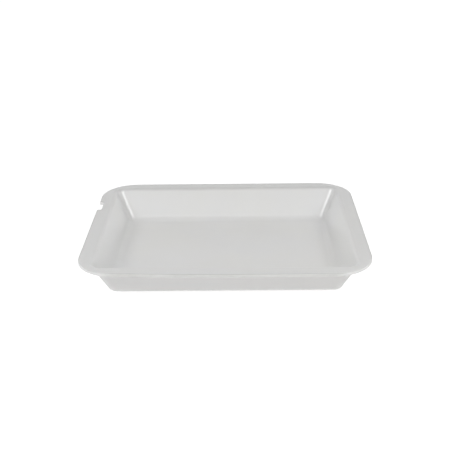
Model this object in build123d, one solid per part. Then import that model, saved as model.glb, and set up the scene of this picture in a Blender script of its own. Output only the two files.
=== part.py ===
"""Developing tray: one thin-walled moulding that holds a shallow bath of chemical.

The floor takes an 8 by 10 inch print with room round it. Four walls flare outwards to a mouth,
which rolls over into a wide flat flange. The flange's outer corners are large and round, and its
edge turns down into a lip that stiffens it. A small notch is let into the left side of the rim,
in front of the back corner, and the lip runs round the notch too.

Frame: millimetres, +X along the length, +Y towards the back, +Z up. The origin is the centre of
the underside, on the surface that the tray rests on.
"""
import os
from math import atan2, cos, degrees, tan

from build123d import *

# Outside sizes
overall_length = 340.0
overall_width = 280.0
overall_height = 43.0

# The moulding's wall
wall_thickness = 2.5

# Rim: a flat flange round the mouth, with its outer edge turned down
flange_width = 16.5
rim_corner_radius = 45.0
lip_height = 4.0
lip_thickness = 2.0
rim_edge_rounding = 0.9
lip_foot_rounding = 0.6

# Walls: each leans out by the same run on its way up to the flange
wall_run = 18.0

# Bends, where two walls meet, where a wall meets the floor, and where it rolls over into the
# flange. Each value is the smaller of the bend's two radii, inside the tray at the corners and the
# floor and under the flange at the mouth. The other radius is larger by the wall's thickness.
corner_rounding = 11.0
floor_rounding = 10.5
under_flange_rounding = 3.0

# Notch in the left side of the rim
notch_length = 25.0
notch_depth = 5.5
notch_corner_radius = 1.2
notch_clear_of_corner = 21.5

# Gate mark: the shallow recess under the floor where the plastic was let in
gate_diameter = 11.0
gate_depth = 0.6
gate_rounding = 0.4

# Worked out from the sizes above: the flange's underside, and the walls' lean from upright
flange_underside = overall_height - wall_thickness
wall_lean = atan2(wall_run, flange_underside)


def level_rectangle(inset, height):
    """A level rectangle, inset this far from the rim's outer edge."""
    length = overall_length - 2 * inset
    width = overall_width - 2 * inset
    return Plane.XY.offset(height) * Rectangle(length, width)


def flared_block(bottom, top, behind):
    """A solid with the walls' lean between two heights, rounded at its corners and its foot.

    Its sides lie this far behind the walls' outer faces, and its bends are tighter by as much.
    It is drawn mouth down, so that it narrows as it rises, and then turned over.
    """
    mouth_inset = flange_width + behind / cos(wall_lean) + (flange_underside - top) * tan(wall_lean)
    upturned = extrude(level_rectangle(mouth_inset, 0), top - bottom, taper=degrees(wall_lean))
    block = Pos(0, 0, top) * Rot(180, 0, 0) * upturned
    corners = block.edges().filter_by(Plane.XY, reverse=True)
    block = fillet(corners, corner_rounding + wall_thickness - behind)
    foot_edges = block.edges().group_by(Axis.Z)[0]
    return fillet(foot_edges, floor_rounding + wall_thickness - behind)


def notched_rim(height):
    """The flange's outer outline with the notch let into its left side."""
    outline = level_rectangle(0, height)
    outline = fillet(outline.vertices(), rim_corner_radius)
    back_end = overall_width / 2 - rim_corner_radius - notch_clear_of_corner
    centre = (-overall_length / 2, back_end - notch_length / 2)
    notch = Plane.XY.offset(height) * Pos(*centre) * Rectangle(2 * notch_depth, notch_length)
    notched = outline - notch
    corners = notched.vertices().filter_by_position(Axis.Y, back_end - notch_length, back_end)
    return fillet(corners, notch_corner_radius)


def lip():
    """The turned-down edge, which follows the rim and the notch at one thickness."""
    bottom = overall_height - lip_height
    outside = notched_rim(bottom)
    inside = offset(outside, -lip_thickness, kind=Kind.INTERSECTION)
    return extrude(outside - inside, lip_height)


def level_face(solid, height):
    """The level face whose height is nearest to this one."""
    level = solid.faces().filter_by(GeomType.PLANE).filter_by(Axis.Z)
    return level.sort_by(lambda face: abs(face.center().Z - height))[0]


def rounded_rim(tray):
    """Roll the walls over into the flange at one thickness, and ease the rim's edges."""
    mouth = level_face(tray, overall_height).inner_wires()[0]
    tray = fillet(mouth.edges(), under_flange_rounding + wall_thickness)
    wall_top = level_face(tray, flange_underside).inner_wires()[0]
    tray = fillet(wall_top.edges(), under_flange_rounding)
    rim_edge = level_face(tray, overall_height).outer_wire()
    tray = fillet(rim_edge.edges(), rim_edge_rounding)
    lip_foot = level_face(tray, overall_height - lip_height)
    return fillet(lip_foot.edges(), lip_foot_rounding)


def gate_mark():
    """The shallow round recess under the floor, with a softened edge."""
    recess = Cylinder(gate_diameter / 2, gate_depth, align=(Align.CENTER, Align.CENTER, Align.MIN))
    return fillet(recess.edges().group_by(Axis.Z)[-1], gate_rounding)


def make_tray():
    """The whole moulding."""
    bowl = flared_block(0, flange_underside, behind=0)
    flange = extrude(notched_rim(flange_underside), wall_thickness)
    bath = flared_block(wall_thickness, overall_height, behind=wall_thickness)
    tray = rounded_rim(bowl + flange + lip() - bath)
    return tray - gate_mark()


tray = make_tray()
os.makedirs("parts", exist_ok=True)
export_step(tray, "parts/tray.step")
print("tray:", round(tray.volume / 1000, 1), "cm3,", tray.bounding_box().size)
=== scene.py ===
# %% [markdown]
# # A developing tray
# This lesson builds one tray for darkroom work: a single thin shell of milky plastic, moulded in
# one shot, with a flat floor, four flared walls, a wide rim with large round corners, a small lip
# turned down round the edge, and one notch in the left side of the rim. The measured model of the
# tray is loaded first and fixes where everything is. The lesson then makes a cleaner and more
# lifelike mesh in exactly that place, gives it its plastic, and sets up a table, lights and camera.

import math

import bmesh
import bpy
from mathutils import Matrix, Vector, noise


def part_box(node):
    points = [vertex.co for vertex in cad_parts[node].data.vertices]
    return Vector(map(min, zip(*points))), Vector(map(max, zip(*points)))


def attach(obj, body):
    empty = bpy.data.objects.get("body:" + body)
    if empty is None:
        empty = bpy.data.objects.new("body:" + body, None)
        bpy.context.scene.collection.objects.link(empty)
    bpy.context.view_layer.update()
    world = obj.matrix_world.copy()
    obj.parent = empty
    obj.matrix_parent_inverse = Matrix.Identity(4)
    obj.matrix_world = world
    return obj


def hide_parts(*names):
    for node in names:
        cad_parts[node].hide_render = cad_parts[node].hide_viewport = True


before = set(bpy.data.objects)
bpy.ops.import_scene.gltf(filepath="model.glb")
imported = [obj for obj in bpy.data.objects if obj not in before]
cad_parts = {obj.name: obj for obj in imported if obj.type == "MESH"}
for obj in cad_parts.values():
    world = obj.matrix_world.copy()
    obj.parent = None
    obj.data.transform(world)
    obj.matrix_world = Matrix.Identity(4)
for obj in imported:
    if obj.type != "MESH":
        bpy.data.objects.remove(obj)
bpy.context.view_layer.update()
low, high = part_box("tray")
half_length = (high.x - low.x) / 2
half_width = (high.y - low.y) / 2
height = high.z
print("the tray is", [round(1000 * size, 1) for size in high - low], "mm")

# %% [markdown]
# ## The section through the wall
# Cut the tray anywhere along a straight side and the same shape shows: a lip, a flat flange, a
# bend down into the leaning wall, and a bend into the floor. That section could be drawn as a
# curve and swept, but a sweep can't open a notch or let each bend keep its own corner radius. So
# the section is a list of stations instead, and each station will become one loop round the tray.
# A station is a distance in from the rim's outer edge and a height, and everything is in metres.

# %% The sizes of the section
MM = 0.001
wall = 2.5 * MM
flange = 16.5 * MM
wall_run = 18.0 * MM
lip_height = 4.0 * MM
lip_thickness = 2.0 * MM
edge_rounding = 0.9 * MM
foot_rounding = 0.6 * MM
mouth_bend = 3.0 * MM
floor_bend = 10.5 * MM

flange_underside = height - wall
lean = math.atan2(wall_run, flange_underside)
print("the walls lean", round(math.degrees(lean), 1), "degrees from upright")


def wall_inset(level, behind):
    """How far in from the rim's edge the wall is at this level, this far behind its outer face."""
    return flange + (flange_underside - level) * math.tan(lean) + behind / math.cos(lean)


# %% Arcs and straight runs of stations
def arc(centre, radius, start, stop, steps):
    """Stations along an arc. Angles are in degrees, from straight inwards, turning upwards."""
    stations = []
    for step in range(steps + 1):
        angle = math.radians(start + (stop - start) * step / steps)
        inset = centre[0] + radius * math.cos(angle)
        stations.append((inset, centre[1] + radius * math.sin(angle)))
    return stations


def between(first, last, steps):
    """Stations evenly spaced between two others, without the ends."""
    a, b = Vector(first), Vector(last)
    return [tuple(a.lerp(b, step / steps)) for step in range(1, steps)]


print("a run of three steps has", len(between((0, 0), (3, 0), 3)), "stations between its ends")


# %% The bends and the lip, as stations
lean_degrees = math.degrees(lean)
mouth_level = flange_underside - mouth_bend
mouth_centre = (wall_inset(mouth_level, 0) - mouth_bend / math.cos(lean), mouth_level)
floor_level = wall + floor_bend
floor_centre = (wall_inset(floor_level, wall) + floor_bend / math.cos(lean), floor_level)

outer_floor_bend = arc(floor_centre, floor_bend + wall, 270, 180 + lean_degrees, steps=10)
outer_mouth_bend = arc(mouth_centre, mouth_bend, lean_degrees, 90, steps=6)
inner_mouth_bend = arc(mouth_centre, mouth_bend + wall, 90, lean_degrees, steps=9)
inner_floor_bend = arc(floor_centre, floor_bend, 180 + lean_degrees, 270, steps=12)

lip_foot = height - lip_height
inner_foot = (lip_thickness - foot_rounding, lip_foot + foot_rounding)
outer_foot = (foot_rounding, lip_foot + foot_rounding)
edge_centre = (edge_rounding, height - edge_rounding)
root_rounding = 0.3 * MM
lip_root = (lip_thickness + root_rounding, flange_underside - root_rounding)

print("mouth bend centre", [round(value / MM, 2) for value in mouth_centre])
print("floor bend centre", [round(value / MM, 2) for value in floor_centre])

# %% [markdown]
# ## The loops round the tray
# Seen from above, every station is a rounded rectangle, and the ones out at the rim also step in
# round the notch. If all loops have the same number of points, neighbours join with four-sided
# faces and nothing needs patching. A boolean cut could make the notch in one line, but it would
# leave long thin faces on a rim that catches the light, so the loops are drawn round the notch.

# %% The corner radius at each depth of the section
rim_corner = 45.0 * MM
inner_wall_corner = 9.9 * MM
outer_wall_corner = 12.3 * MM


def corner_radius(inset, inside):
    """The plan's corner radius. The bends share their centre, and the floor's corner is sharp."""
    top = inner_mouth_bend[-1][0] if inside else outer_mouth_bend[0][0]
    foot = inner_floor_bend[0][0] if inside else outer_floor_bend[-1][0]
    radius = inner_wall_corner if inside else outer_wall_corner
    if inset < top:
        return radius + top - inset
    if inset > foot:
        return radius * (floor_centre[0] - inset) / (floor_centre[0] - foot)
    return radius


mouth_inset = inner_mouth_bend[0][0]
print("the mouth's corner radius is", round(corner_radius(mouth_inset, True) / MM, 1), "mm")


# %% The notch, as a path from back to front
notch_length = 25.0 * MM
notch_depth = 5.5 * MM
notch_rounding = 1.2 * MM
least_rounding = 0.15 * MM
clear_of_corner = 21.5 * MM
notch_middle = half_width - rim_corner - clear_of_corner - notch_length / 2
notch_reach = notch_depth + notch_length / 2
NOTCH_CORNER_STEPS = 5
NOTCH_RUN_STEPS = (2, 3, 9, 3, 2)


def rounded_corner(before, corner, after, radius, steps):
    """Points on an arc that rounds a corner between two straight runs."""
    into = (before - corner).normalized()
    out = (after - corner).normalized()
    turn = into.angle(out)
    setback = radius / math.tan(turn / 2)
    middle = corner + (into + out).normalized() * radius / math.sin(turn / 2)
    start = corner + into * setback - middle
    stop = corner + out * setback - middle
    points = []
    for step in range(steps + 1):
        share = step / steps
        points.append(middle + start.lerp(stop, share).normalized() * radius)
    return points


def straight_run(first, last, steps):
    """Points evenly spaced between two others, without the ends."""
    return [first.lerp(last, step / steps) for step in range(1, steps)]


def notch_path(inset):
    """The left side's points round the notch, at this distance in from the rim's edge."""
    edge = -half_length + inset
    depth = edge + notch_depth
    back = notch_middle + notch_length / 2 + inset
    front = notch_middle - notch_length / 2 - inset
    start = Vector((edge, notch_middle + notch_reach))
    stop = Vector((edge, notch_middle - notch_reach))
    corners = [Vector((edge, back)), Vector((depth, back))]
    corners += [Vector((depth, front)), Vector((edge, front))]
    outer_radius = max(notch_rounding - inset, least_rounding)
    inner_radius = notch_rounding + inset
    radii = (outer_radius, inner_radius, inner_radius, outer_radius)
    ends = (start, *corners, stop)
    path = [start]
    for number, radius in enumerate(radii):
        before, corner, after = ends[number:number + 3]
        rounded = rounded_corner(before, corner, after, radius, NOTCH_CORNER_STEPS)
        path += straight_run(path[-1], rounded[0], NOTCH_RUN_STEPS[number])
        path += rounded
    path += straight_run(path[-1], stop, NOTCH_RUN_STEPS[-1])
    return path + [stop]


def shares_along(path):
    """How far along the path each point lies, from 0 to 1."""
    travelled = [0.0]
    for a, b in zip(path, path[1:]):
        travelled.append(travelled[-1] + (b - a).length)
    return [value / travelled[-1] for value in travelled]


notch_shares = shares_along(notch_path(0))
print("the notch takes", len(notch_shares), "points of each loop")

# %% One loop of points
CORNER_STEPS = 18
LONG_STEPS = 30
BEHIND_NOTCH_STEPS = 4
BEFORE_NOTCH_STEPS = 14


def side_levels(reach):
    """Where the points of a short side lie, from front to back, thick where the notch is."""
    front = notch_middle - notch_reach
    back = notch_middle + notch_reach
    levels = []
    for step in range(BEFORE_NOTCH_STEPS):
        levels.append(-reach + (front + reach) * step / BEFORE_NOTCH_STEPS)
    for share in reversed(notch_shares):
        levels.append(back + (front - back) * share)
    for step in range(1, BEHIND_NOTCH_STEPS + 1):
        levels.append(back + (reach - back) * step / BEHIND_NOTCH_STEPS)
    return levels


def loop(inset, radius, notched=False):
    """A closed loop of points, seen from above, that runs anticlockwise from the front left."""
    reach_x = half_length - inset - radius
    reach_y = half_width - inset - radius
    levels = side_levels(reach_y)
    front = []
    for step in range(LONG_STEPS + 1):
        front.append(Vector((-reach_x + 2 * reach_x * step / LONG_STEPS, inset - half_width)))
    right = [Vector((half_length - inset, level)) for level in levels]
    back = [-point for point in front]
    left = [Vector((inset - half_length, level)) for level in reversed(levels)]
    if notched:
        first = BEHIND_NOTCH_STEPS
        path = notch_path(inset)
        left[first:first + len(path)] = path
    corners = []
    for sign_x, sign_y, start in ((1, -1, 270), (1, 1, 0), (-1, 1, 90), (-1, -1, 180)):
        centre = Vector((sign_x * reach_x, sign_y * reach_y))
        turns = [math.radians(start + 90 * step / CORNER_STEPS) for step in range(1, CORNER_STEPS)]
        corners.append([centre + radius * Vector((math.cos(turn), math.sin(turn))) for turn in turns])
    return front + corners[0] + right + corners[1] + back + corners[2] + left + corners[3]


print("each loop has", len(loop(0, rim_corner)), "points")

# %% [markdown]
# ## The whole skin, as loops
# The loops run in order over the tray's whole skin: from the middle of the underside out and up
# the wall, along under the flange, round the lip, back over the flange's top, and down the inside
# to the floor. On the flange, the loops change little by little from the rim's notched outline to
# the mouth's plain one, so the notch fades out before the bend begins.

# %% Collect the loops, with what each one needs to know
class Ring:
    """One loop: its points, its height, and whether it is on the inside of the tray."""

    def __init__(self, points, level, inside):
        self.points = points
        self.level = level
        self.inside = inside


def plain_rings(stations, inside):
    """Loops for stations that have no notch."""
    made = []
    for inset, level in stations:
        made.append(Ring(loop(inset, corner_radius(inset, inside)), level, inside))
    return made


def notched_rings(stations, inside):
    """Loops for stations at the rim, where the notch is."""
    made = []
    for inset, level in stations:
        made.append(Ring(loop(inset, rim_corner - inset, notched=True), level, inside))
    return made


def fade(first, last, steps):
    """Loops that change evenly from one to another, without the ends."""
    rings = []
    for step in range(1, steps):
        share = step / steps
        points = [a.lerp(b, share) for a, b in zip(first.points, last.points)]
        rings.append(Ring(points, first.level + (last.level - first.level) * share, first.inside))
    return rings


WALL_STEPS = 12
FLANGE_STEPS = 7
outside_wall = between(outer_floor_bend[-1], outer_mouth_bend[0], WALL_STEPS)
outside = plain_rings(outer_floor_bend + outside_wall + outer_mouth_bend, False)

lip = arc(lip_root, root_rounding, 90, 180, steps=3)
lip += arc(inner_foot, foot_rounding, 0, -90, steps=4)
lip += arc(outer_foot, foot_rounding, 270, 180, steps=4)
rim_edge = arc(edge_centre, edge_rounding, 180, 90, steps=6)
rim_outside = notched_rings(lip, False)
rim_top = notched_rings(rim_edge + [(lip_thickness, height)], True)

inside_wall = between(inner_mouth_bend[-1], inner_floor_bend[0], WALL_STEPS)
inside = plain_rings(inner_mouth_bend + inside_wall + inner_floor_bend, True)

rings = outside + fade(outside[-1], rim_outside[0], FLANGE_STEPS) + rim_outside
rings += rim_top + fade(rim_top[-1], inside[0], FLANGE_STEPS) + inside
print("the skin has", len(rings), "loops")

# %% [markdown]
# ## From loops to a mesh
# Neighbouring loops join face by face. The two flat floors are rectangles of ordinary grid, whose
# edge points are the last loop's own. At the floor's corners a loop's corner shrinks to one point,
# and merging the doubles there leaves a neat fan, as at the pole of a globe.

# %% Join the loops
mesh = bmesh.new()
on_rim = mesh.verts.layers.float.new("on_rim")
rim_band = 2.5 * MM
INSIDE_FINISH = 0
OUTSIDE_FINISH = 1


def add_ring(ring):
    """The loop's points as vertices. Each notes how near it lies to the rim's outer edge."""
    vertices = []
    for point in ring.points:
        vertex = mesh.verts.new((point.x, point.y, ring.level))
        to_edge = min(half_length - abs(point.x), half_width - abs(point.y))
        if ring.level > lip_foot - MM:
            vertex[on_rim] = max(0.0, 1.0 - to_edge / rim_band)
        vertices.append(vertex)
    return vertices


def join(first, last, finish):
    """Four-sided faces between two loops."""
    count = len(first)
    for number in range(count):
        following = (number + 1) % count
        face = mesh.faces.new((first[number], first[following], last[following], last[number]))
        face.material_index = finish


skin = [add_ring(ring) for ring in rings]
for number in range(len(rings) - 1):
    finish = INSIDE_FINISH if rings[number].inside else OUTSIDE_FINISH
    join(skin[number], skin[number + 1], finish)
print("joined", len(mesh.faces), "faces")


# %% Fill the two floors
def fill_floor(edge, finish):
    """A grid of faces inside a loop whose corners have shrunk to points."""
    corner = CORNER_STEPS - 1
    short = len(side_levels(0))
    front = edge[:LONG_STEPS + 1]
    right_start = LONG_STEPS + 1 + corner
    right = edge[right_start:right_start + short]
    back_start = right_start + short + corner
    back = edge[back_start:back_start + LONG_STEPS + 1][::-1]
    left_start = back_start + LONG_STEPS + 1 + corner
    left = edge[left_start:left_start + short][::-1]
    rows = [front]
    for row in range(1, short - 1):
        inner = []
        for column in range(1, LONG_STEPS):
            inner.append(mesh.verts.new((front[column].co.x, left[row].co.y, front[0].co.z)))
        rows.append([left[row], *inner, right[row]])
    rows.append(back)
    for lower, upper in zip(rows, rows[1:]):
        for column in range(LONG_STEPS):
            corners = (lower[column], lower[column + 1], upper[column + 1], upper[column])
            mesh.faces.new(corners).material_index = finish


merge_distance = 0.002 * MM
fill_floor(skin[0], OUTSIDE_FINISH)
fill_floor(skin[-1], INSIDE_FINISH)
bmesh.ops.remove_doubles(mesh, verts=mesh.verts, dist=merge_distance)
print("the shell has", len(mesh.faces), "faces and", len(mesh.verts), "points")

# %% [markdown]
# ## The gate mark
# The hot plastic came into the mould at one place, in the middle under the floor, and its stub was
# cut off inside a shallow round recess so that the tray stands flat. A boolean cut would make the
# recess too, but it leaves long thin faces on a floor that is about to be bent. Taking out a few of
# the grid's faces and filling the hole round a circle keeps the shell clean and closed.

# %% Set the recess into the underside
GATE_STEPS = 48
GATE_ROUNDING_STEPS = 4
gate_radius = 5.5 * MM
gate_depth = 0.6 * MM
gate_rounding = 0.4 * MM
gate_clearing = 10 * MM


def circle_of(radius, level):
    """A level circle of points round the middle of the floor."""
    points = []
    for step in range(GATE_STEPS):
        turn = math.tau * step / GATE_STEPS
        points.append(mesh.verts.new((radius * math.cos(turn), radius * math.sin(turn), level)))
    return points


opened = []
for face in mesh.faces:
    middle = face.calc_center_median()
    if middle.z < MM and middle.xy.length < gate_clearing:
        opened.append(face)
bmesh.ops.delete(mesh, geom=opened, context="FACES")
hole = [edge for edge in mesh.edges if edge.is_boundary]
circle = circle_of(gate_radius, 0.0)
circle_edges = [mesh.edges.new((circle[number - 1], circle[number])) for number in range(GATE_STEPS)]
filled = bmesh.ops.triangle_fill(mesh, edges=hole + circle_edges, use_beauty=True)
surround = [item for item in filled["geom"] if isinstance(item, bmesh.types.BMFace)]
for face in surround:
    face.material_index = OUTSIDE_FINISH
for step in range(GATE_ROUNDING_STEPS + 1):
    angle = math.radians(90 * step / GATE_ROUNDING_STEPS)
    radius = gate_radius - gate_rounding * (1 - math.cos(angle))
    deeper = circle_of(radius, gate_depth - gate_rounding * (1 - math.sin(angle)))
    join(circle, deeper, OUTSIDE_FINISH)
    circle = deeper
mesh.faces.new(circle).material_index = OUTSIDE_FINISH
bmesh.ops.recalc_face_normals(mesh, faces=mesh.faces)
open_edges = [edge for edge in mesh.edges if not edge.is_manifold]
surround_area = sum(face.calc_area() for face in surround) / MM ** 2
print("opened", len(opened), "faces for the gate mark;", len(open_edges), "edges are left open")
print("the fill round it covers", round(surround_area, 1), "square mm")
print("its volume is", round(mesh.calc_volume() * 1e6, 1), "cm3")

# %% [markdown]
# ## The mould's unevenness
# A real tray is never quite true. It shrinks as it cools, so the long front rim sags a little in
# the middle, the floor lifts a little, and broad shallow waves bend its reflections. Sculpting by
# hand could do that, but a formula over the points gives the same tray each time, and each effect
# keeps its own named size. Nothing moves outwards, so the tray stays inside its measured box.

# %% Warp the shell
front_sag = 1.9 * MM
front_sag_middle = 45 * MM
front_sag_reach = 150 * MM
floor_crown = 0.35 * MM
wave_height = 0.16 * MM
wave_length = 70 * MM
wave_fades_below = 8 * MM


def sag(point):
    """How far this point sinks. The front rim sinks most, and the foot not at all."""
    up = min(1.0, max(0.0, point.z / height)) ** 1.5
    frontness = min(1.0, max(0.0, -point.y / half_width)) ** 3
    across = min(1.0, abs(point.x - front_sag_middle) / front_sag_reach)
    return up * front_sag * frontness * (1 - across ** 3)


def crown(point):
    """How far the floor lifts: most in the middle, and nothing at the foot of the walls."""
    across = min(1.0, abs(point.x) / (half_length - floor_centre[0]))
    along = min(1.0, abs(point.y) / (half_width - floor_centre[0]))
    return floor_crown * (1 - across ** 2) * (1 - along ** 2)


def wave(point):
    """A broad, shallow unevenness, always downwards or nothing."""
    return wave_height * (noise.noise(point / wave_length) - 1) / 2


for vertex in mesh.verts:
    point = vertex.co.copy()
    above_table = min(1.0, point.z / wave_fades_below)
    vertex.co.z += crown(point) - sag(point) + wave(point) * above_table
print("highest point now", round(max(vertex.co.z for vertex in mesh.verts) / MM, 2), "mm")

# %% [markdown]
# ## The object and its shading
# Smooth shading makes the loops look like one curved skin. It would also smear light over the few
# real edges, so every edge that turns by more than a set angle is marked sharp.

# %% Make the tray's object
SHARP_DEGREES = 42
tray_data = bpy.data.meshes.new("tray_shell")
mesh.to_mesh(tray_data)
mesh.free()
tray_shell = bpy.data.objects.new("tray_shell", tray_data)
bpy.context.scene.collection.objects.link(tray_shell)
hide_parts("tray")
tray_data.shade_smooth()
tray_data.set_sharp_from_angle(angle=math.radians(SHARP_DEGREES))
print("the tray's object has", len(tray_data.polygons), "faces")

# %% [markdown]
# ## Plastic, in four shared effects
# Natural plastic has no pigment. It looks milky because light goes in, scatters, and comes out a
# few millimetres away, so a plain white paint would look dead beside it. On top of that, real
# moulded plastic is never one even colour or gloss. Each effect below could be painted as a
# picture, but a picture needs a layout and has a fixed sharpness. A node group works at any
# distance, and both of the tray's finishes use the same four with their own values: a milky cloud
# in the colour, the mould's grain, the marks of handling, and a painted shade along the rim's edge.

# %% Helpers for nodes
def add_node(tree, kind, **settings):
    """A node with its sockets or properties set by name. A socket's spaces are underscores."""
    node = tree.nodes.new(kind)
    for name, value in settings.items():
        label = name.replace("_", " ")
        if label in node.inputs:
            node.inputs[label].default_value = value
        else:
            setattr(node, name, value)
    return node


def ramp(tree, source, span, result):
    """Turns the values of one span evenly into another, and stops at its ends."""
    node = add_node(tree, "ShaderNodeMapRange", From_Min=span[0], From_Max=span[1])
    node.inputs["To Min"].default_value = result[0]
    node.inputs["To Max"].default_value = result[1]
    tree.links.new(source, node.inputs["Value"])
    return node.outputs["Result"]


def combine(tree, operation, first, second):
    """Two values put together by a Math node. Either may be a plain number."""
    node = add_node(tree, "ShaderNodeMath", operation=operation)
    for socket, value in zip(node.inputs, (first, second)):
        if isinstance(value, (int, float)):
            socket.default_value = value
        else:
            tree.links.new(value, socket)
    return node.outputs["Value"]


def new_group(name, inputs, outputs):
    """An empty shader node group, with the ends that its inside links to."""
    group = bpy.data.node_groups.new(name, "ShaderNodeTree")
    for label, kind, value in inputs:
        socket = group.interface.new_socket(label, in_out="INPUT", socket_type=kind)
        socket.default_value = value
    for label, kind in outputs:
        group.interface.new_socket(label, in_out="OUTPUT", socket_type=kind)
    given = group.nodes.new("NodeGroupInput").outputs
    wanted = group.nodes.new("NodeGroupOutput").inputs
    return group, given, wanted


COLOUR = "NodeSocketColor"
VALUE = "NodeSocketFloat"
WHITE = (1, 1, 1, 1)
print("ready to build shared effects")

# %% [markdown]
# ### Milky cloud
# The melt never mixes perfectly, so natural plastic drifts slowly between a cool and a warm white.
# The drift is so faint that it shows only across a whole wall, which makes it a job for one large,
# soft noise that mixes two near-equal colours.

# %% Group: milky cloud
CLOUDS_PER_METRE = 11
milky_cloud, given, wanted = new_group(
    "milky_cloud",
    [("Cool", COLOUR, WHITE), ("Warm", COLOUR, WHITE), ("Clouds per Metre", VALUE, CLOUDS_PER_METRE)],
    [("Colour", COLOUR)])
place = add_node(milky_cloud, "ShaderNodeTexCoord").outputs["Object"]
clouds = add_node(milky_cloud, "ShaderNodeTexNoise", Detail=3)
drift = add_node(milky_cloud, "ShaderNodeMix", data_type="RGBA")
milky_cloud.links.new(place, clouds.inputs["Vector"])
milky_cloud.links.new(given["Clouds per Metre"], clouds.inputs["Scale"])
softened = ramp(milky_cloud, clouds.outputs["Fac"], (0.35, 0.65), (0, 1))
milky_cloud.links.new(softened, drift.inputs["Factor"])
milky_cloud.links.new(given["Cool"], drift.inputs["A"])
milky_cloud.links.new(given["Warm"], drift.inputs["B"])
milky_cloud.links.new(drift.outputs["Result"], wanted["Colour"])
print("built the milky cloud")

# %% [markdown]
# ### Mould grain
# The steel of the mould prints its own surface on the plastic: a fine grain of about a third of a
# millimetre, and under it long shallow swells where the plastic shrank. Both are heights in
# metres, so the Bump node that takes them can stand at a distance of one.

# %% Group: mould grain
SWELLS_PER_METRE = 38
mould_grain, given, wanted = new_group(
    "mould_grain",
    [("Grains per Metre", VALUE, 3000), ("Grain Depth", VALUE, 0.004 * MM),
     ("Swell Depth", VALUE, 0.1 * MM)],
    [("Height", VALUE)])
place = add_node(mould_grain, "ShaderNodeTexCoord").outputs["Object"]
grains = add_node(mould_grain, "ShaderNodeTexNoise", Detail=2)
swells = add_node(mould_grain, "ShaderNodeTexNoise", Scale=SWELLS_PER_METRE, Detail=1)
mould_grain.links.new(place, grains.inputs["Vector"])
mould_grain.links.new(place, swells.inputs["Vector"])
mould_grain.links.new(given["Grains per Metre"], grains.inputs["Scale"])
grain_height = combine(mould_grain, "MULTIPLY", grains.outputs["Fac"], given["Grain Depth"])
swell_height = combine(mould_grain, "MULTIPLY", swells.outputs["Fac"], given["Swell Depth"])
mould_grain.links.new(combine(mould_grain, "ADD", grain_height, swell_height), wanted["Height"])
print("built the mould grain")

# %% [markdown]
# ### Handling marks
# Tongs, fingers and stacked trays leave fine scratches that run this way and that. A noise that is
# stretched forty times one way turns into streaks, and keeping only its peaks leaves hairlines.
# Two such layers that cross at an angle look like years of use, where one would look brushed.

# %% Group: handling marks
STREAK_STRETCH = (14, 560, 14)
STREAK_LAYERS = ((24, 0.0), (-51, 0.37))
RAREST_PEAK = 0.76
PEAK_EDGE = 0.04
handling_marks, given, wanted = new_group(
    "handling_marks", [("Amount", VALUE, 0.5)], [("Mask", VALUE)])
place = add_node(handling_marks, "ShaderNodeTexCoord").outputs["Object"]
lowering = combine(handling_marks, "MULTIPLY", given["Amount"], 0.1)
threshold = combine(handling_marks, "SUBTRACT", RAREST_PEAK, lowering)
layers = []
for degrees_across, start in STREAK_LAYERS:
    aim = add_node(handling_marks, "ShaderNodeMapping", Scale=STREAK_STRETCH)
    aim.inputs["Location"].default_value = (start, start, 0)
    aim.inputs["Rotation"].default_value = (0, 0, math.radians(degrees_across))
    streaks = add_node(handling_marks, "ShaderNodeTexNoise", Scale=1, Detail=1, Distortion=0.4)
    handling_marks.links.new(place, aim.inputs["Vector"])
    handling_marks.links.new(aim.outputs["Vector"], streaks.inputs["Vector"])
    above = combine(handling_marks, "SUBTRACT", streaks.outputs["Fac"], threshold)
    layers.append(ramp(handling_marks, above, (0, PEAK_EDGE), (0, 1)))
handling_marks.links.new(combine(handling_marks, "MAXIMUM", *layers), wanted["Mask"])
print("built the handling marks")

# %% [markdown]
# ### Painted shade on the handled edge
# Wet fingers carry the tray by its rim, which takes off the shine there. The colour along the
# edge is also darkened, a painted shade that stands for the dark line of the rounded, milky edge.
# The mesh already says how near each point is to the edge, in its `on_rim` attribute. A soft
# noise breaks the band up, so that neither the shade nor the dulling is even.

# %% Group: painted shade and dulling on the handled edge
PATCHES_PER_METRE = 45
# The mask darkens the colour along the rim's edge as painted shade, and also dulls its shine.
edge_shade_and_handling, given, wanted = new_group(
    "edge_shade_and_handling", [("Amount", VALUE, 1.0)], [("Mask", VALUE)])
nearness = add_node(edge_shade_and_handling, "ShaderNodeAttribute", attribute_name="on_rim").outputs["Fac"]
place = add_node(edge_shade_and_handling, "ShaderNodeTexCoord").outputs["Object"]
patches = add_node(edge_shade_and_handling, "ShaderNodeTexNoise", Scale=PATCHES_PER_METRE, Detail=2)
edge_shade_and_handling.links.new(place, patches.inputs["Vector"])
broken = ramp(edge_shade_and_handling, patches.outputs["Fac"], (0.3, 0.6), (0.7, 1))
band = combine(edge_shade_and_handling, "MULTIPLY", nearness, broken)
shaded_and_held = combine(edge_shade_and_handling, "MULTIPLY", band, given["Amount"])
edge_shade_and_handling.links.new(shaded_and_held, wanted["Mask"])
print("built the handled edge")

# %% [markdown]
# ## The two finishes
# The side that holds the bath was polished in the mould so that it washes clean. The side that
# meets the bench was left satin. Both are the same plastic, so one function makes both, and only
# the values differ. Scattering, refraction and the polished coat are the same all over, so they
# are set straight on the shader's own sockets.

# %% Make a finish
REFRACTION = 1.5
SCATTER_DISTANCE = 8 * MM
COAT_ROUGHNESS = 0.3
SWELL_DEPTH = 0.12 * MM
MARK_DEPTH = 0.002 * MM
MARK_ROUGHNESS = 0.12
# The edge colour is painted shade: a darker grey that stands for the dark line along the rim's edge.
EDGE_SHADE_COLOUR = (0.55, 0.55, 0.53, 1)
EDGE_SHADE_AND_DULL_AMOUNT = 0.7
EDGE_DULL_ROUGHNESS = 0.2


def place_group(tree, group, **settings):
    """One of the shared effects, placed in a material with its own values."""
    node = add_node(tree, "ShaderNodeGroup", node_tree=group)
    for name, value in settings.items():
        node.inputs[name.replace("_", " ")].default_value = value
    return node


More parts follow.
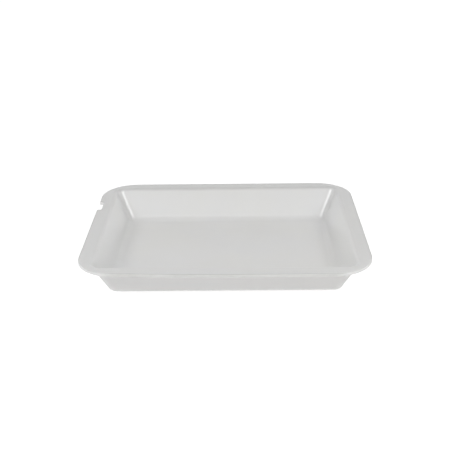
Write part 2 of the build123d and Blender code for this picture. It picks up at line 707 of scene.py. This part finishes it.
def tray_finish(name, cool, warm, roughness, grain_depth, marks, coat):
    """A material for one side of the tray."""
    material = bpy.data.materials.new(name)
    material.use_nodes = True
    tree = material.node_tree
    surface = tree.nodes["Principled BSDF"]
    surface.inputs["IOR"].default_value = REFRACTION
    surface.inputs["Subsurface Weight"].default_value = 1.0
    surface.inputs["Subsurface Radius"].default_value = (1, 1, 1)
    surface.inputs["Subsurface Scale"].default_value = SCATTER_DISTANCE
    surface.inputs["Coat Weight"].default_value = coat
    surface.inputs["Coat Roughness"].default_value = COAT_ROUGHNESS

    cloud = place_group(tree, milky_cloud, Cool=(*cool, 1), Warm=(*warm, 1))
    grain = place_group(tree, mould_grain, Grain_Depth=grain_depth, Swell_Depth=SWELL_DEPTH)
    marked = place_group(tree, handling_marks, Amount=marks)
    marked.name = "marks"
    shaded_and_handled = place_group(tree, edge_shade_and_handling, Amount=EDGE_SHADE_AND_DULL_AMOUNT)

    # Painted shade: the darker edge colour is mixed in along the rim's edge.
    edge_shaded = add_node(tree, "ShaderNodeMix", data_type="RGBA")
    edge_shaded.inputs["B"].default_value = EDGE_SHADE_COLOUR
    tree.links.new(shaded_and_handled.outputs["Mask"], edge_shaded.inputs["Factor"])
    tree.links.new(cloud.outputs["Colour"], edge_shaded.inputs["A"])
    tree.links.new(edge_shaded.outputs["Result"], surface.inputs["Base Color"])

    scratched = combine(tree, "MULTIPLY", marked.outputs["Mask"], MARK_ROUGHNESS)
    dulled = combine(tree, "MULTIPLY", shaded_and_handled.outputs["Mask"], EDGE_DULL_ROUGHNESS)
    rough = combine(tree, "ADD", roughness, scratched)
    tree.links.new(combine(tree, "ADD", rough, dulled), surface.inputs["Roughness"])

    groove = combine(tree, "MULTIPLY", marked.outputs["Mask"], MARK_DEPTH)
    height_above = combine(tree, "SUBTRACT", grain.outputs["Height"], groove)
    bump = add_node(tree, "ShaderNodeBump", Distance=1.0, Strength=1.0)
    tree.links.new(height_above, bump.inputs["Height"])
    tree.links.new(bump.outputs["Normal"], surface.inputs["Normal"])
    print("made", name)
    return material


# %% Finish both sides
WALL_MARKS = 0.3
bath_side = tray_finish(
    "bath_side", cool=(0.8, 0.802, 0.8), warm=(0.805, 0.804, 0.784),
    roughness=0.28, grain_depth=0.0015 * MM, marks=WALL_MARKS, coat=1.0)
bench_side = tray_finish(
    "bench_side", cool=(0.815, 0.811, 0.803), warm=(0.825, 0.814, 0.798),
    roughness=0.42, grain_depth=0.005 * MM, marks=WALL_MARKS, coat=0.0)
tray_data.materials.append(bath_side)
tray_data.materials.append(bench_side)
print("the tray wears", [material.name for material in tray_data.materials])

# %% [markdown]
# ## The scuffed foot
# The underside slides over benches and sinks, so it has many more marks than the walls above it.
# The same group does this too: instead of one number, its amount comes from how high the point is.

# %% Scuff the foot
FOOT_MARKS = 1.3
foot_span = (0.5 * MM, 6 * MM)
tree = bench_side.node_tree
level = add_node(tree, "ShaderNodeSeparateXYZ")
tree.links.new(add_node(tree, "ShaderNodeTexCoord").outputs["Object"], level.inputs["Vector"])
marks_by_level = ramp(tree, level.outputs["Z"], foot_span, (FOOT_MARKS, WALL_MARKS))
tree.links.new(marks_by_level, tree.nodes["marks"].inputs["Amount"])
print("the marks thin out below", round(foot_span[1] / MM), "mm")

# %% [markdown]
# ## The table
# A studio puts a milky tray on a white table with a light panel let into it, because light from
# below fills a translucent floor and removes its shadow. A single glowing plane would do, but then
# the walls would get as much light from below as the floor does. So the table is a pale sheet that
# glows faintly, and the panel is a separate sheet as large as the tray's foot. The table is
# overexposed for the camera alone, so that it is pure white and still lights the tray gently.

# %% Lay the table and its light panel
def sheet_of(name, half_x, half_y, level):
    """A flat rectangle on the floor, marked as part of the stage."""
    data = bpy.data.meshes.new(name)
    points = [(-half_x, -half_y, 0), (half_x, -half_y, 0), (half_x, half_y, 0), (-half_x, half_y, 0)]
    data.from_pydata(points, [], [(0, 1, 2, 3)])
    made = bpy.data.objects.new(name, data)
    made.location.z = level
    bpy.context.scene.collection.objects.link(made)
    return made


def glowing(name, shade, glow):
    """A pale material that gives out some light of its own."""
    material = bpy.data.materials.new(name)
    material.use_nodes = True
    surface = material.node_tree.nodes["Principled BSDF"]
    surface.inputs["Base Color"].default_value = (shade, shade, shade, 1)
    surface.inputs["Roughness"].default_value = 1.0
    surface.inputs["Specular IOR Level"].default_value = 0.0
    surface.inputs["Emission Color"].default_value = WHITE
    surface.inputs["Emission Strength"].default_value = glow
    return material


TABLE_REACH = 6.0
TABLE_SHADE = 0.6
TABLE_GLOW = 0.37
PANEL_SHADE = 0.8
PANEL_GLOW = 0.46
panel_inset = 33 * MM
table_level = -0.4 * MM
panel_level = -0.2 * MM
table = sheet_of("table", TABLE_REACH, TABLE_REACH, table_level)
table_finish = glowing("white_table", TABLE_SHADE, TABLE_GLOW)
table.data.materials.append(table_finish)
panel = sheet_of("light_panel", half_length - panel_inset, half_width - panel_inset, panel_level)
panel.data.materials.append(glowing("panel_glass", PANEL_SHADE, PANEL_GLOW))
print("the light panel is", [round(size / MM, 1) for size in panel.dimensions.xy], "mm")

# %% Overexpose the table for the camera alone
BLOOM = 0.5
tree = table_finish.node_tree
pale = tree.nodes["Principled BSDF"]
bloom = add_node(tree, "ShaderNodeEmission", Strength=BLOOM)
over = add_node(tree, "ShaderNodeAddShader")
shown = add_node(tree, "ShaderNodeMixShader")
seen = add_node(tree, "ShaderNodeLightPath").outputs["Is Camera Ray"]
tree.links.new(pale.outputs["BSDF"], over.inputs[0])
tree.links.new(bloom.outputs["Emission"], over.inputs[1])
tree.links.new(seen, shown.inputs["Fac"])
tree.links.new(pale.outputs["BSDF"], shown.inputs[1])
tree.links.new(over.outputs["Shader"], shown.inputs[2])
tree.links.new(shown.outputs["Shader"], tree.nodes["Material Output"].inputs["Surface"])
print("the camera sees the table brighter by", BLOOM)

# %% [markdown]
# ## The light tent
# Soft light from all round is a white tent, and the world shader can be that tent. An even tent
# would flatten the tray, though. Here each part of it has its own brightness: strong from high in
# front, which lifts the back wall, strong from low at the sides, weaker from the back, and nothing
# from straight above, which keeps the level flange a little darker than the walls. Two ramps on the
# direction's height part low from high and high from overhead, and two on its depth part the front
# and the back from the sides.

# %% Hang the tent
TENT = {
    ("low", "side"): 1.32,
    ("low", "back"): 0.89,
    ("high", "front"): 1.17,
    ("high", "back"): 0.61,
}
world = bpy.data.worlds.new("light_tent")
bpy.context.scene.world = world
world.use_nodes = True
tree = world.node_tree
towards = add_node(tree, "ShaderNodeSeparateXYZ")
tree.links.new(add_node(tree, "ShaderNodeTexCoord").outputs["Generated"], towards.inputs["Vector"])
low_part = ramp(tree, towards.outputs["Z"], (0.15, 0.45), (1, 0))
top_part = ramp(tree, towards.outputs["Z"], (0.55, 0.85), (0, 1))
front_part = ramp(tree, towards.outputs["Y"], (-0.7, -0.2), (1, 0))
back_part = ramp(tree, towards.outputs["Y"], (0.2, 0.7), (0, 1))
not_low = combine(tree, "SUBTRACT", 1, low_part)
not_front = combine(tree, "SUBTRACT", 1, front_part)
parts = {
    "low": low_part,
    "high": combine(tree, "SUBTRACT", not_low, top_part),
    "front": front_part,
    "side": combine(tree, "SUBTRACT", not_front, back_part),
    "back": back_part,
}
brightness = 0
for (level_name, side_name), strength in TENT.items():
    share = combine(tree, "MULTIPLY", parts[level_name], parts[side_name])
    brightness = combine(tree, "ADD", brightness, combine(tree, "MULTIPLY", share, strength))
tent = tree.nodes["Background"]
tent.inputs["Color"].default_value = WHITE
tree.links.new(brightness, tent.inputs["Strength"])
backdrop = add_node(tree, "ShaderNodeBackground", Color=WHITE, Strength=1.0)
shown = add_node(tree, "ShaderNodeMixShader")
seen = add_node(tree, "ShaderNodeLightPath").outputs["Is Camera Ray"]
tree.links.new(seen, shown.inputs["Fac"])
tree.links.new(tent.outputs["Background"], shown.inputs[1])
tree.links.new(backdrop.outputs["Background"], shown.inputs[2])
tree.links.new(shown.outputs["Shader"], tree.nodes["World Output"].inputs["Surface"])
print("the tent has", len(TENT), "bright parts")

# %% [markdown]
# ## Two soft boxes
# A soft box on each side, in front and above, puts a bright streak down each of the back corners,
# where the wall turns through every direction between the back and the side.

# %% Set up the soft boxes
BOX_POWER = 4.64
BOX_WIDTH = 0.6
BOX_HEIGHT = 0.3
LEFT_BOX_PLACE = (-0.75, -0.70, 0.93)
RIGHT_BOX_PLACE = (0.75, -0.70, 0.93)
tray_middle = (0, 50 * MM, 20 * MM)


def soft_box(name, place, aim):
    """A rectangular area light that faces a point."""
    data = bpy.data.lights.new(name, "AREA")
    data.shape = "RECTANGLE"
    data.size = BOX_WIDTH
    data.size_y = BOX_HEIGHT
    data.energy = BOX_POWER
    box = bpy.data.objects.new(name, data)
    box.location = place
    box.rotation_euler = (Vector(aim) - Vector(place)).to_track_quat("-Z", "Y").to_euler()
    bpy.context.scene.collection.objects.link(box)
    print(name, "stands", round((Vector(place) - Vector(aim)).length, 2), "m away")


soft_box("left_box", LEFT_BOX_PLACE, tray_middle)
soft_box("right_box", RIGHT_BOX_PLACE, tray_middle)

# %% [markdown]
# ## The camera
# The camera looks down on the tray from in front, a long step back, and very slightly off square.
# Its place and angles are given one by one, because aiming it at a point would lose that small tilt.

# %% Place the camera
CAMERA_PLACE = (0.01562, -0.97560, 0.46597)
LOOK_DOWN = 23.92
TURN_LEFT = 0.611
TILT = -0.738
camera_data = bpy.data.cameras.new("camera")
camera_data.sensor_width = 36
camera_data.lens = 66.05
camera = bpy.data.objects.new("camera", camera_data)
bpy.context.scene.collection.objects.link(camera)
camera.location = CAMERA_PLACE
look_down = Matrix.Rotation(math.radians(90 - LOOK_DOWN), 4, "X")
turn_left = Matrix.Rotation(math.radians(TURN_LEFT), 4, "Z")
tilt = Matrix.Rotation(math.radians(TILT), 4, "Z")
camera.rotation_euler = (turn_left @ look_down @ tilt).to_euler()
bpy.context.scene.camera = camera
bpy.context.scene.view_settings.view_transform = "Standard"
print("the camera looks down by", LOOK_DOWN, "degrees")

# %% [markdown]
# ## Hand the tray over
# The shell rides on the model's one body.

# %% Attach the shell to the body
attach(tray_shell, "root")
